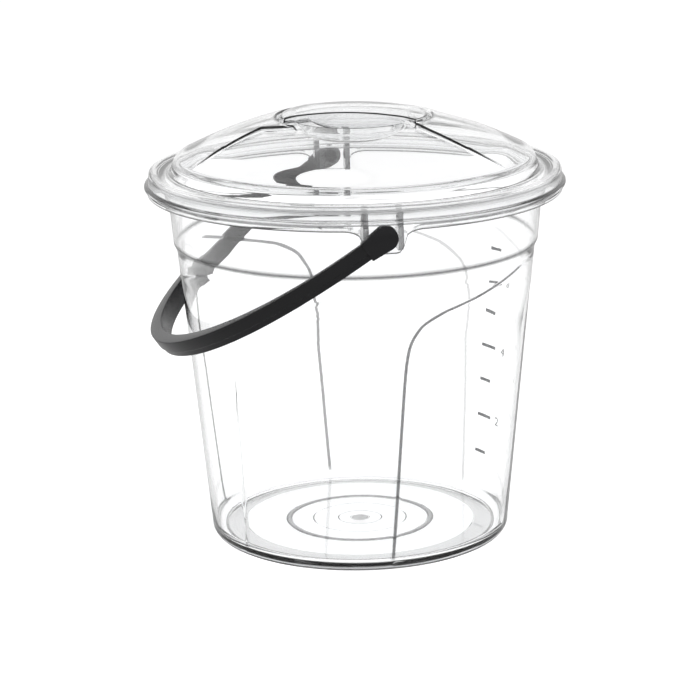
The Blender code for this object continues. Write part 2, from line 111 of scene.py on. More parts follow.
# %% Helpers for making a piece from its outline
def open_outline(outline, first, last):
    """Takes away the edge that joins the two ends of a profile, and the face with it."""
    bpy.ops.mesh.select_all(action="DESELECT")
    bpy.ops.object.mode_set(mode="OBJECT")
    for edge in outline.data.edges:
        edge.select = set(edge.vertices) == {first, last}
    bpy.ops.object.mode_set(mode="EDIT")
    bpy.ops.mesh.select_mode(type="EDGE")
    bpy.ops.mesh.delete(type="EDGE_FACE")


def turned(name, profile, steps):
    """Spins a profile of (radius, height) about the Z axis. Both ends lie on the axis, or it closes."""
    deselect_all()
    bpy.ops.mesh.primitive_circle_add(vertices=len(profile), radius=START_R)
    piece = bpy.context.object
    piece.name = name
    for vertex, (radius, height) in zip(piece.data.vertices, profile):
        vertex.co = (radius * MM, 0, height * MM)
    bpy.ops.object.mode_set(mode="EDIT")
    if profile[0][0] == 0 and profile[-1][0] == 0:
        open_outline(piece, 0, len(profile) - 1)
    bpy.ops.mesh.select_mode(type="VERT")
    bpy.ops.mesh.select_all(action="SELECT")
    bpy.ops.mesh.spin(steps=steps, angle=math.tau, center=(0, 0, 0), axis=(0, 0, 1))
    bpy.ops.object.mode_set(mode="OBJECT")
    outward(piece)
    return piece


def extruded(corners, move):
    """A solid whose flat face has the corners given, extruded by a vector."""
    deselect_all()
    bpy.ops.mesh.primitive_circle_add(vertices=len(corners), radius=START_R, fill_type="NGON")
    piece = bpy.context.object
    for vertex, corner in zip(piece.data.vertices, corners):
        vertex.co = np.array(corner) * MM
    bpy.ops.object.mode_set(mode="EDIT")
    bpy.ops.mesh.select_all(action="SELECT")
    bpy.ops.mesh.extrude_region_move(TRANSFORM_OT_translate={"value": [step * MM for step in move]})
    bpy.ops.object.mode_set(mode="OBJECT")
    outward(piece)
    return piece


print("outline helpers ready")

# %% Helpers for placing points
def points_of(piece):
    points = np.empty(len(piece.data.vertices) * 3)
    piece.data.vertices.foreach_get("co", points)
    return points.reshape(-1, 3) / MM


def set_points(piece, points):
    piece.data.vertices.foreach_set("co", (points * MM).ravel())
    piece.data.update()


def polar_of(points):
    return np.hypot(points[:, 0], points[:, 1]), np.degrees(np.arctan2(points[:, 1], points[:, 0])) % 360


def from_polar(radius, degrees, height):
    angle = np.radians(degrees)
    return np.column_stack((radius * np.cos(angle), radius * np.sin(angle), height))


def smooth_step(value, low, high):
    share = np.clip((value - low) / (high - low), 0, 1)
    return share * share * (3 - 2 * share)


def arc(center_r, center_z, radius, start, end, steps):
    """Points of an arc in the plane of radius and height."""
    angles = np.radians(np.linspace(start, end, steps + 1))
    return [(center_r + radius * math.cos(a), center_z + radius * math.sin(a)) for a in angles]


def rounding(angle, size):
    """How far in and how far down a rounded edge is at an angle that is 90 on top and 0 at its side."""
    turn = math.radians(angle)
    return size * (1 - math.cos(turn)), size * (1 - math.sin(turn))


def eased(value, places, values):
    """A smooth curve through a table's points that never overshoots."""
    places, values = np.array(places, float), np.array(values, float)
    slopes = np.diff(values) / np.diff(places)
    between = 2 * slopes[1:] * slopes[:-1] / (slopes[1:] + slopes[:-1] + 1e-9)
    tangents = np.concatenate(([slopes[0]], between, [slopes[-1]]))
    k = np.clip(np.searchsorted(places, value) - 1, 0, len(slopes) - 1)
    h = places[k + 1] - places[k]
    t = np.clip((value - places[k]) / h, 0, 1)
    return (
        (2 * t**3 - 3 * t**2 + 1) * values[k]
        + (t**3 - 2 * t**2 + t) * h * tangents[k]
        + (3 * t**2 - 2 * t**3) * values[k + 1]
        + (t**3 - t**2) * h * tangents[k + 1]
    )


print("point helpers ready")

# %% [markdown]
# ## The tub
# The real tub is injection moulded in one shot: wall, floor, foot ring, rim and ears. Its wall
# carries six raised lines that climb straight and then sweep round. A lathe can't cut them, so the
# spun wall's columns are turned to follow the lines, and the skin just behind each line is pressed
# in. The columns do the work, so each line stays crisp with few faces.

# %% The tub's profile
BASE_R = 105.0
WALL_TOP_R = 123.8
WALL_TOP_Z = 204.5
WALL_T = 2.2
SHOULDER_T = 2.1
WALL_TOP = 201.0
CORNER = 7.2
FLOOR_Z = 6.0
INNER_CORNER = 6.0
UNDER_Z = 3.4
THICK_RING_Z = 2.3
RIM_UNDER = 255.4
RIM_TOP = 257.2
COLUMNS = 360


def cone_radius(height):
    return BASE_R + (WALL_TOP_R - BASE_R) * (height - CORNER) / (WALL_TOP_Z - CORNER)


gate_ring = [(0, UNDER_Z), (5.2, UNDER_Z), (5.6, 3.0), (6.6, 3.0), (7.0, UNDER_Z)]
thin_rings = [(14.9, UNDER_Z), (15.3, 3.1), (15.7, UNDER_Z), (32.6, UNDER_Z), (33.0, 3.1), (33.4, UNDER_Z)]
thick_ring = [
    (47.9, UNDER_Z), (48.6, 2.5), (49.3, THICK_RING_Z), (50.9, THICK_RING_Z), (51.6, 2.5), (52.3, UNDER_Z),
]
foot_ring = [(80.9, UNDER_Z), (81.4, 3.0), (93.6, 3.0), (94.6, 2.8), (95.4, 1.6), (95.8, 0.4), (96.4, 0.0)]
underside = gate_ring + thin_rings + thick_ring + foot_ring
outer_corner = arc(BASE_R - CORNER, CORNER, CORNER, -90, 0, 8)
wall_heights = [9, 12, 18, 26, 36, 48, 60, 75, 90, 105, 118, 130, 140, 147, 153, 158, 162]
wall_heights += list(np.arange(165, 201.1, 1.5))
outer_wall = [(cone_radius(z), z) for z in wall_heights]
shoulder = [
    (123.5, 202.8), (WALL_TOP_R, 204.3), (124.2, 205.8), (124.7, 207.2), (125.25, 208.5),
    (125.8, 209.5), (126.0, 209.9), (126.05, 210.4),
]
upper_wall = [(126.2, 213.0), (126.9, 220.0), (127.9, 232.0), (128.8, 243.0), (129.4, 250.0)]
rim_under = [(129.8, 253.4), (130.6, 255.0), (131.8, RIM_UNDER), (136.8, RIM_UNDER), (137.8, 254.8)]
skirt_inside = [(138.2, 253.6), (138.2, 249.6), (138.6, 248.4), (139.8, 247.2), (140.8, 246.4)]
bead = [(141.2, 245.4), (141.2, 244.4), (141.6, 244.0), (142.4, 244.0), (142.9, 244.5), (143.0, 245.4)]
skirt_outside = [(142.9, 246.2), (142.3, 246.9), (141.2, 247.4), (140.4, 247.9), (140.0, 248.8)]
rim_top = [(140.0, 254.8), (139.6, 256.3), (138.4, RIM_TOP), (130.4, RIM_TOP), (129.0, 256.7)]
upper_inside = [(128.0, 255.4), (127.6, 253.6), (127.2, 250.0), (125.7, 232.0), (124.1, 213.0)]
shoulder_inside = [(r - SHOULDER_T, z) for r, z in shoulder[::-1]]
shoulder_inside += [(cone_radius(WALL_TOP) - SHOULDER_T, WALL_TOP)]
inner_wall = [(cone_radius(z) - WALL_T, z) for z in (185, 160, 130, 100, 70, 45, 25)]
inner_corner_r = BASE_R - WALL_T - INNER_CORNER
inner_corner = arc(inner_corner_r, FLOOR_Z + INNER_CORNER, INNER_CORNER, 0, -90, 6)
floor_inside = [(94.0, FLOOR_Z), (70.0, FLOOR_Z), (0, FLOOR_Z)]
tub_outside = underside + outer_corner + outer_wall + shoulder + upper_wall
tub_rim = rim_under + skirt_inside + bead + skirt_outside + rim_top
tub_inside = upper_inside + shoulder_inside + inner_wall + inner_corner + floor_inside
tub_profile = tub_outside + tub_rim + tub_inside
tub = turned("tub_clear", tub_profile, COLUMNS)
print("tub profile points:", len(tub_profile), "vertices:", len(tub.data.vertices))

# %% [markdown]
# A line's turn round the axis is a smooth curve through a few heights. The first columns of each
# sixth are its step, and the others share out the rest of the way to the next line. The step stays
# equally wide across itself, also where the line runs sideways.

# %% Sweep the wall's columns and press in the relief
SECTORS = 6
SWEEP_START = -82.3
RELIEF = 0.4
RELIEF_CURVE = 1.4
RELIEF_FADE_Z = 190
STEP_PLACES = [0.0, 0.45, 1.3, 2.3, 2.8]
STEP_DEPTHS = [0.0, 0.12, 0.5, 0.88, 1.0]
WIDEST_LINE = 3.5
TURN_HEIGHTS = [0, 49.7, 109.3, 145.0, 158.9, 172.8, 181.8, 188.1, 193.7, 200.6]
TURN_DEGREES = [-4.0, -2.5, -1.0, 0.0, 1.0, 4.6, 12.0, 24.0, 34.4, 48.0]
FLOOR_LEAST_R = 60
WALL_FOOT_R = 97
INSIDE_BY = 1.5
INSIDE_TOP = 203


def wall_turn(height):
    """How far a line has turned round the axis at a height."""
    return eased(np.clip(height, 0, WALL_TOP), TURN_HEIGHTS, TURN_DEGREES)


def line_spread(height, radius):
    """How much wider a line is along the wall's ring than across itself, as it turns sideways."""
    per_mm = wall_turn(height + 0.5) - wall_turn(height - 0.5)
    return np.minimum(np.hypot(1, np.radians(per_mm) * radius), WIDEST_LINE)


def sweep_wall(piece):
    points = points_of(piece)
    radius, degrees = polar_of(points)
    height = points[:, 2]
    per_sector = COLUMNS // SECTORS
    column = np.rint(degrees / (360 / COLUMNS)).astype(int) % COLUMNS
    sector, place = column // per_sector, column % per_sector
    sector_mm = np.maximum(radius, FLOOR_LEAST_R) * math.radians(360 / SECTORS)
    fixed = len(STEP_PLACES)
    wide = line_spread(height, radius)
    near = np.array(STEP_PLACES)[np.minimum(place, fixed - 1)] * wide / sector_mm
    last = STEP_PLACES[-1] * wide / sector_mm
    spread = last + (1 - last) * (place - fixed + 1) / (per_sector - fixed + 1)
    share = np.where(place < fixed, near, spread)
    inner = (height > FLOOR_Z - 0.1) & (radius < cone_radius(height) - INSIDE_BY) & (height < INSIDE_TOP)
    turn = np.where(inner | (height > WALL_TOP), TURN_DEGREES[-1], wall_turn(height))
    step = np.array(STEP_DEPTHS)[np.minimum(place, fixed - 1)]
    ramp = np.clip(1 - (share - last) / (1 - last), 0, 1) ** RELIEF_CURVE
    depth = RELIEF * np.where(place < fixed, step, ramp)
    fade = smooth_step(height, 1.5, CORNER + 3) * (1 - smooth_step(height, RELIEF_FADE_Z, WALL_TOP))
    on_wall = ~inner & (height > 0.5) & (height <= WALL_TOP) & (radius > WALL_FOOT_R)
    radius = radius - np.where(on_wall, depth * fade, 0)
    new = from_polar(radius, SWEEP_START + turn + (sector + share) * 360 / SECTORS, height)
    new[radius < 0.01, :2] = 0
    set_points(piece, new)


sweep_wall(tub)
print("relief depth in mm:", RELIEF)

# %% [markdown]
# The ears are two places where the skirt hangs lower to carry the handle's pivots. Two ribs tie
# each ear back to the wall. Each rib is a closed bar of its own in the tub's object, so that light
# bends at its sides and they show.

# %% Drop the ears, add their ribs and pivot holes
EAR_PLACES = [0, 3.4, 4.3, 4.9, 5.25, 5.45, 6.1, 7.2, 8.6, 10.0]
EAR_DROPS = [15.0, 15.0, 14.4, 13.2, 11.0, 6.4, 3.4, 1.6, 0.5, 0.0]
BEAD_IN_R = 141.0
BEAD_TOP_Z = 246.0
RIB_AT = 11.3
RIB_T = 3.6
RIB_OUTLINE = [
    (128.1, 230.4), (138.0, 230.4), (140.9, 233.0), (140.9, 244.6), (137.9, 248.6), (137.9, 255.2),
    (131.2, 255.2), (130.0, 252.6), (129.2, 243.4),
]
PIVOT_Z = 241.0
HOLE_R = 3.5
HOLE_AT = 142
HOLE_DEPTH = 8
SIDES = (-1, 1)


def ear_drop(degrees):
    """How far the skirt hangs down, by the angle away from the nearer pivot."""
    return np.interp(np.abs(degrees % 180 - 90), EAR_PLACES, EAR_DROPS)


def drop_ears(piece):
    points = points_of(piece)
    radius, degrees = polar_of(points)
    hangs = (radius > BEAD_IN_R) & (points[:, 2] < BEAD_TOP_Z)
    points[:, 2] -= np.where(hangs, ear_drop(degrees), 0)
    set_points(piece, points)


def add_rib(side, offset):
    """One rib between the wall and an ear, square to the pivot's axis."""
    near_face = offset - RIB_T / 2
    corners = [(near_face, side * math.sqrt(r**2 - offset**2), z) for r, z in RIB_OUTLINE]
    return extruded(corners, (RIB_T, 0, 0))


def pivot_hole(side):
    deselect_all()
    bpy.ops.mesh.primitive_cylinder_add(
        vertices=48, radius=HOLE_R * MM, depth=HOLE_DEPTH * MM,
        location=(0, side * HOLE_AT * MM, PIVOT_Z * MM), rotation=(math.pi / 2, 0, 0),
    )
    return bpy.context.object


drop_ears(tub)
join_or_cut(tub, joined([pivot_hole(side) for side in SIDES]), "DIFFERENCE")
tub = joined([tub] + [add_rib(side, offset) for side in SIDES for offset in (-RIB_AT, RIB_AT)])
smooth(tub, 32)
print("tub faces:", len(tub.data.polygons))

# %% [markdown]
# ## The lid
# The lid is one thin moulding too: a lip and skirt round the tub's rim, a flat ledge, a stepped
# dome, two raised wings and a raised grip bar with a deep finger recess in front and behind. It is
# spun as a plain stack of rings first. Each ring then gets its radius and its heights from the form.

# %% The lid's rings
LID_T = 1.8
GRIP_T = 1.0
DOME_R = 125.1
DOME_EDGE_Z = 267.7
DOME_H = 29.3
DOME_EDGE_ROUND = 3.4
LID_COLUMNS = 360
STACK_R = 20.0
STACK_STEP = 4.0


def dome_height(radius):
    return DOME_EDGE_Z + DOME_H * (1 - (radius / DOME_R) ** 2)


# A ring is (kind, a, b). Of the grip, a bar ring has its share of the bar's reach, an edge ring
# its angle on the rounded edge, and a recess ring its share of the way out. A dome ring has its
# radius and its rise, and a plain ring its radius and height.
bar_rings = [("bar", share, 0) for share in (0, 0.12, 0.24, 0.36, 0.48, 0.6, 0.7, 0.8, 0.88, 0.94)]
bar_edge = [("edge", angle, 0) for angle in (90, 75, 60, 45, 30, 15, 0)]
recess_shares = (0, 0.06, 0.12, 0.2, 0.3, 0.4, 0.5, 0.6, 0.7, 0.8, 0.88, 0.95, 1)
recess_rings = [("recess", share, 0) for share in recess_shares]
wing_inner = [("dome", r, 0.0) for r in (52.2, 52.6, 53.0, 53.5, 54.0, 54.5, 55.0, 56.2)]
dome_rings = [("dome", r, 0.0) for r in np.arange(57.5, 119.6, 1.55)]
dome_turns = [rounding(angle, DOME_EDGE_ROUND) for angle in (90, 72, 54, 38, 24, 12, 0)]
dome_edge = [("dome", DOME_R - inset, -drop) for inset, drop in dome_turns]
step_down = [(126.5, 261.2), (127.2, 260.0), (127.7, 259.5), (128.6, 259.3)]
ledge = [(132.0, 259.5), (137.6, 260.0), (138.6, 260.1), (139.8, 259.9), (140.9, 259.3), (141.7, 258.5)]
skirt = [(142.1, 257.5), (142.1, 252.0), (142.3, 251.3), (142.9, 250.9)]
lip = [(144.3, 250.7), (144.8, 250.3), (145.0, 249.7), (145.0, 248.9), (144.8, 248.4), (144.3, 248.1)]
inner_skirt = [(141.2, 248.1), (140.6, 248.3), (140.3, 248.8), (140.3, 256.6), (139.9, 257.3)]
seat = [(139.2, 257.6), (127.6, 257.5), (126.2, 257.6)]
plain_rings = [("plain", r, z) for r, z in step_down + ledge + skirt + lip + inner_skirt + seat]
over_rings = bar_rings + bar_edge + recess_rings + wing_inner + dome_rings + dome_edge
under_rings = [("under " + kind, a, b) for kind, a, b in over_rings[:0:-1] + bar_rings[:1]]
lid_rings = over_rings + plain_rings + under_rings
stack = [(STACK_R, STACK_STEP * k) for k in range(len(lid_rings))]
stack[0] = (0, 0)
stack[-1] = (0, stack[-1][1])
lid = turned("lid_clear", stack, LID_COLUMNS)
print("lid rings:", len(lid_rings))

# %% [markdown]
# The wings, the bar and the recesses are heights over the ring's radius and angle. Angles are
# counted from the X axis on both sides, so the two halves of the lid are alike. The columns slide
# sideways so that a few of them lie along each edge of a wing. Each ring also carries the painted
# shade of its line, which the finish uses later.

# %% The form of the dome, the wings and the grip
WING_RISE = 3.7
WING_STEP = 1.3
WING_INNER_R = 53.5
WING_INNER_STEP = 1.2
WING_BEND_R = 66.0
WING_OUTER_R = 120.0
WING_FRONT, FRONT_SPREAD = -47, 5.3
WING_REAR, REAR_SPREAD, REAR_BEND = 12, 7, 24
FRONT_COLUMN, REAR_COLUMN, COLUMNS_BESIDE = -47, 15, 2
GRIP_AT = -15.0
BAR_HALF = 22.3
BAR_END = 50.0
BAR_RISE = 4.8
BAR_ROUND = 0.5
BAR_DRAFT = 0.8
BAR_END_DROP = 1.0
BAR_END_FROM = 36
RECESS_R = 43.0
RECESS_DEPTH = 15.5
RECESS_LEAST = 0.7
RECESS_HALF = math.sqrt(RECESS_R**2 - BAR_HALF**2)
# Painted shade strengths: grey mixed into the clear colour along the recess's edges, the bar's edge, the
# wings' sides and the lip.
RECESS_PAINTED_SHADE = 0.3
RECESS_PAINTED_SHADE_DEPTH = 6
BAR_PAINTED_SHADE = 0.05
WING_PAINTED_SHADE = 0.12
LIP_PAINTED_SHADES = {
    (145.0, 248.9): 0.75, (144.8, 248.4): 0.75, (142.3, 251.3): 0.85, (142.9, 250.9): 0.85,
    (142.1, 257.5): 0.4,
}


def wing_edges(radius):
    """The angles of a wing's front and rear edge on a ring, and half of an edge's width."""
    radius = max(radius, WING_INNER_R)
    out_share = max(0.0, (radius - WING_BEND_R) / (WING_OUTER_R - WING_BEND_R))
    bend = min(1.0, max(0.0, (WING_BEND_R - radius) / (WING_BEND_R - WING_INNER_R)))
    front = WING_FRONT + FRONT_SPREAD * out_share
    rear = WING_REAR + REAR_SPREAD * out_share + REAR_BEND * bend
    return front, rear, math.degrees(WING_STEP / radius) / 2


def lengthwise(at):
    return np.abs(np.cos(np.radians(at - GRIP_AT)))


def bar_reach(at):
    """How far the bar reaches from the axis in each direction: straight sides and round ends."""
    across = np.abs(np.sin(np.radians(at - GRIP_AT)))
    return np.minimum(BAR_END, BAR_HALF / np.maximum(across, BAR_HALF / BAR_END))


def bar_ring(kind, value, at):
    """A ring of the bar's top, at a share of the way out, or of its rounded edge, at an angle."""
    inset, drop, line = BAR_ROUND, 0.0, 0.0
    if kind == "edge":
        inset, drop = rounding(value, BAR_ROUND)
        line = BAR_PAINTED_SHADE * (value <= 30)
        value = 1.0
    radius = (bar_reach(at) - inset) * value
    end_drop = BAR_END_DROP * smooth_step(radius * lengthwise(at), BAR_END_FROM, BAR_END)
    return radius, dome_height(radius) + BAR_RISE - drop - end_drop, line


def recess_ring(share, at):
    """A ring of the finger recess, from the bar's foot out to the recess's round edge."""
    reach = bar_reach(at)
    foot = reach + BAR_DRAFT
    edge = np.maximum(RECESS_R, foot + RECESS_LEAST)
    radius = foot + (edge - foot) * share
    along = foot * lengthwise(at) / RECESS_HALF
    depth = RECESS_DEPTH * np.sqrt(np.maximum(0, 1 - along**2)) * (1 - share**2)
    lines = {0: np.clip(depth / RECESS_PAINTED_SHADE_DEPTH, 0, 1), 1: 1.0}
    return radius, dome_height(radius) - depth, RECESS_PAINTED_SHADE * lines.get(share, 0.0) * (reach < RECESS_R)


def dome_ring(ring_r, rise, at):
    """A ring of the dome, raised between the front and the rear edge of each wing."""
    front, rear, half_step = wing_edges(ring_r)
    past_front = smooth_step(at, front - half_step, front + half_step)
    on_wing = past_front * (1 - smooth_step(at, rear - half_step, rear + half_step))
    fade = min(1.0, max(0.0, (WING_OUTER_R - ring_r) / (WING_OUTER_R - WING_INNER_R)))
    past_inner = smooth_step(ring_r, WING_INNER_R - WING_INNER_STEP, WING_INNER_R + WING_INNER_STEP)
    height = dome_height(ring_r) + rise + WING_RISE * on_wing * fade * past_inner
    side_line = on_wing * (1 - on_wing) * 4 * min(1.0, 2.5 * fade) * past_inner
    inner_line = past_inner * (1 - past_inner) * 4 * on_wing
    return np.full(len(at), ring_r), height, WING_PAINTED_SHADE * np.maximum(side_line, inner_line)


def lid_ring(kind, a, b, at):
    """The radius, height and painted line shade of one ring at the angles given."""
    if kind == "recess":
        return recess_ring(a, at)
    if kind == "dome":
        return dome_ring(a, b, at)
    if kind == "plain":
        return np.full(len(at), a), np.full(len(at), b), LIP_PAINTED_SHADES.get((a, b), 0.0)
    return bar_ring(kind, a, at)


print("bar and recess, half lengths in mm:", BAR_END, round(RECESS_HALF, 1))

# %% Shape the lid
DOME_INSET = 1.2
INSET_FROM, INSET_TO = 100, 119


def slide_share(kind, a):
    """How much of the columns' slide a ring takes: none on the axis and outside the dome."""
    if kind == "bar":
        return float(smooth_step(a, 0.1, 0.9))
    return float(kind != "plain")


def slid_columns(kind, a, at):
    front, rear, half_step = wing_edges(0.0 if kind in ("bar", "edge", "recess") else a)
    beside_front = (FRONT_COLUMN - COLUMNS_BESIDE, FRONT_COLUMN + COLUMNS_BESIDE)
    beside_rear = (REAR_COLUMN - COLUMNS_BESIDE, REAR_COLUMN + COLUMNS_BESIDE)
    wing_sides = (front - half_step, front + half_step, rear - half_step, rear + half_step)
    return np.interp(at, [-90, *beside_front, *beside_rear, 90], [-90, *wing_sides, 90])


def under_inset(kind, a):
    """How much nearer to the axis the underside lies, below a ring of the top."""
    if kind == "dome":
        return DOME_INSET * float(smooth_step(a, INSET_FROM, INSET_TO))
    return GRIP_T * {"bar": a, "edge": 1, "recess": 1 - a}[kind]


def shape_lid(piece):
    points = points_of(piece)
    _, degrees = polar_of(points)
    ring = np.rint(points[:, 2] / STACK_STEP).astype(int)
    half = (degrees + 90) % 180 - 90
    new = np.empty_like(points)
    shade = np.zeros(len(points))
    for k, (name, a, b) in enumerate(lid_rings):
        mask = ring == k
        kind = name.split()[-1]
        slide = (slid_columns(kind, a, half[mask]) - half[mask]) * slide_share(kind, a)
        radius, height, line = lid_ring(kind, a, b, half[mask] + slide)
        if name.startswith("under"):
            radius = radius - under_inset(kind, a)
            height = height - (LID_T if kind == "dome" else GRIP_T)
        else:
            shade[mask] = line
        new[mask] = from_polar(radius, degrees[mask] + slide, height)
        new[mask, :2] *= (radius > 0.01)[:, None]
    set_points(piece, new)
    outward(piece)
    return shade


lid_shade = shape_lid(lid)
smooth(lid, 32)
print("lid faces:", len(lid.data.polygons))

# %% [markdown]
# ## The bail handle
# The black handle is a bow with a round hub at each end. Its outer face has a ledge along it, and
# it grows thicker and wider towards the middle, where the hand holds it. It hangs to the left.

# %% The handle's bow
TILT = 35.0
REACH = 167.0
ARM_Y = 148.35
ARM_FOOT = 5.0
ARM_HALF_W, GRIP_MORE_W = 6.0, 0.5
ARM_HALF_T, GRIP_MORE_T = 2.25, 2.35
LEDGE_SHARE = 0.3
LEDGE_STEP = 1.2
LEDGE_SLOPE = 0.5
STATIONS = 180
hang = np.array((-math.cos(math.radians(TILT)), 0, -math.sin(math.radians(TILT))))
normal = np.array((math.sin(math.radians(TILT)), 0, -math.cos(math.radians(TILT))))


def bow_section(grip):
    """The bow's cross-section, from an arm's (0) to the grip's (1), with its corners rounded."""
    half_w = ARM_HALF_W + GRIP_MORE_W * grip
    half_t = ARM_HALF_T + GRIP_MORE_T * grip
    ledge_at = half_w * LEDGE_SHARE
    corners = [
        (half_t, -half_w), (half_t, ledge_at), (half_t - LEDGE_STEP, ledge_at + LEDGE_SLOPE),
        (half_t - LEDGE_STEP, half_w), (-half_t, half_w), (-half_t, -half_w),
    ]
    rounds = [0.7, 0.35, 0.3, 0.6, 0.7, 0.7]
    section = []
    for k, (corner, cut) in enumerate(zip(corners, rounds)):
        corner = np.array(corner, float)
        to_last = np.array(corners[k - 1], float) - corner
        to_next = np.array(corners[(k + 1) % len(corners)], float) - corner
        to_last /= np.linalg.norm(to_last)
        to_next /= np.linalg.norm(to_next)
        for share in (0.0, 0.33, 0.67, 1.0):
            section.append(corner + to_last * cut * (1 - share) ** 2 + to_next * cut * share**2)
    return np.array(section)


def straight_bar(name, sides):
    """A bar of many equal stretches, one unit each, to be bent into the bow."""
    deselect_all()
    bpy.ops.mesh.primitive_circle_add(vertices=sides, radius=0.01, fill_type="NGON")
    bar = bpy.context.object
    bar.name = name
    bpy.ops.object.mode_set(mode="EDIT")
    bpy.ops.mesh.select_all(action="SELECT")
    for _ in range(STATIONS):
        bpy.ops.mesh.extrude_region_move(TRANSFORM_OT_translate={"value": (0, 0, 1.0)})
    bpy.ops.object.mode_set(mode="OBJECT")
    return bar


def make_bow():
    sides = len(bow_section(0))
    bow = straight_bar("bail_black", sides)
    points = points_of(bow) * MM
    station = np.rint(points[:, 2]).astype(int)
    _, degrees = polar_of(points)
    around = np.rint(degrees / (360 / sides)).astype(int) % sides
    start = math.asin(ARM_FOOT / REACH)
    new = np.empty_like(points)
    for k in range(STATIONS + 1):
        angle = start + (math.pi - 2 * start) * k / STATIONS
        arch = math.sin(angle)
        center = hang * REACH * arch + np.array((0, ARM_Y * math.cos(angle), PIVOT_Z))
        out = hang * arch * ARM_Y + np.array((0, math.cos(angle) * REACH, 0))
        out /= np.linalg.norm(out)
        section = bow_section(float(smooth_step(arch, 0.25, 0.9)))
        mask = station == k
        chosen = section[around[mask]]
        new[mask] = center + chosen[:, :1] * out + chosen[:, 1:] * normal
    set_points(bow, new)
    outward(bow)
    return bow


bail = make_bow()
print("bow vertices:", len(bail.data.vertices))

# %% [markdown]
# Each hub is a block that is rounded about the pivot. A collar on its inner face holds it off the
# ear, and a pin with a wider head goes through the ear's hole and snaps in behind it.

# %% Hubs and pins
HUB_R = 8.3
HUB_ARM, HUB_ARM_HALF = 15.0, 6.8
HUB_AT, HUB_T = 145.6, 6.1
HUB_BEVEL = 0.6
HUB_STEPS = 32
PIN_R, PIN_HEAD_R, COLLAR_R = 3.2, 4.6, 6.4


def hub_block(side):
    outline = []
    for k in range(HUB_STEPS + 1):
        angle = math.pi / 2 + math.pi * k / HUB_STEPS
        outline.append((HUB_R * math.cos(angle), HUB_R * math.sin(angle)))
    outline += [(HUB_ARM, -HUB_ARM_HALF), (HUB_ARM, HUB_ARM_HALF)]
    foot = np.array((0, side * HUB_AT, PIVOT_Z))
    corners = [foot + hang * along + normal * across for along, across in outline]
    block = extruded(corners, (0, side * HUB_T, 0))
    apply_modifier(
        block, "BEVEL", width=HUB_BEVEL * MM, segments=2, limit_method="ANGLE", angle_limit=math.radians(40)
    )
    return block


def pin(side):
    """The collar, the pin through the ear and the head behind it, by distance from the lid's axis."""
    profile = [
        (0, 139.6), (4.2, 139.6), (PIN_HEAD_R, 140.0), (PIN_HEAD_R, 140.8), (PIN_R, 140.8),
        (PIN_R, 143.3), (COLLAR_R, 143.3), (COLLAR_R, 147.8), (0, 147.8),
    ]
    piece = turned("pin", profile, 48)
    points = points_of(piece)
    set_points(piece, np.column_stack((points[:, 0], side * points[:, 2], PIVOT_Z + points[:, 1])))
    outward(piece)
    return piece


for side in SIDES:
    join_or_cut(bail, hub_block(side), "UNION")
    join_or_cut(bail, pin(side), "UNION")
smooth(bail, 35)
print("handle faces:", len(bail.data.polygons))

# %% [markdown]
# ## The graduation marks
# The wall is marked inside, litre by litre, with short bars, longer bars at the even litres and
# their numbers. A printed mark has almost no thickness, so each one is a thin plate that is laid
# flat first, and then bent on to the wall's cone.

# %% Bars and numbers
MARK_T = 0.12
MARK_GAP = 0.03
MARK_HEIGHTS = [35.9, 62.7, 88.9, 114.0, 138.2, 162.7, 186.2]
BAR_START = 27.9
LONG_BAR = 16.5
SHORT_BAR = 12.5
BAR_TALL = 2.2
NUMBER_AT = 15.2
NUMBER_TALL = 6.0
NUMBER_STRETCH = 1.5


def flat_bar(length, height):
    deselect_all()
    bpy.ops.mesh.primitive_grid_add(x_subdivisions=12, y_subdivisions=1, size=1.0)
    bar = bpy.context.object
    points = points_of(bar) * MM
    points[:, 0] = (points[:, 0] + 0.5) * length
    points[:, 1] = points[:, 1] * BAR_TALL + height
    set_points(bar, points)
    return bar


def flat_number(digit, height):
    """A digit as a mesh, its left edge at zero."""
    deselect_all()
    bpy.ops.object.text_add()
    number = bpy.context.object
    number.data.body = str(digit)
    number.data.resolution_u = 4
    bpy.ops.object.convert(target="MESH")
    number = bpy.context.object
    points = points_of(number) * MM
    points[:, 1] -= points[:, 1].min()
    scale = NUMBER_TALL / points[:, 1].max()
    points[:, 0] = (points[:, 0] - points[:, 0].min()) * scale * NUMBER_STRETCH
    points[:, 1] = points[:, 1] * scale + height - NUMBER_TALL / 2
    set_points(number, points)
    return number


def lay_on_wall(piece, start):
    """Bends a flat piece on to the inner wall from an angle on, and gives it its thickness."""
    points = points_of(piece)
    inner = cone_radius(points[:, 1]) - WALL_T - MARK_GAP
    degrees = start - np.degrees(points[:, 0] / inner)
    set_points(piece, from_polar(inner, degrees, points[:, 1]))
    apply_modifier(piece, "SOLIDIFY", thickness=MARK_T * MM, offset=1.0)
    return piece


marks = []
for litre, height in enumerate(MARK_HEIGHTS, start=1):
    even = litre % 2 == 0
    marks.append(lay_on_wall(flat_bar(LONG_BAR if even else SHORT_BAR, height), BAR_START))
    if even:
        marks.append(lay_on_wall(flat_number(litre, height), NUMBER_AT))
graduation = joined(marks)
graduation.name = "graduation_marks"
outward(graduation)
print("graduation faces:", len(graduation.data.polygons))

# %% [markdown]
# ## Finishes
# The tub and lid are water-clear polished plastic. It bends light like the real one and lets the
# lamps' light through to the floor. It greys a little along its depth. Where the light would be bent
# away at an edge, shade is painted into its colour: each point has an edge shade of painted shade,
# and the tub's wall also gets painted shade where it turns away from the eye. Rays that stay caught
# inside end on a painted pale grey glow. The handle is satin black, and the marks are grey ink.

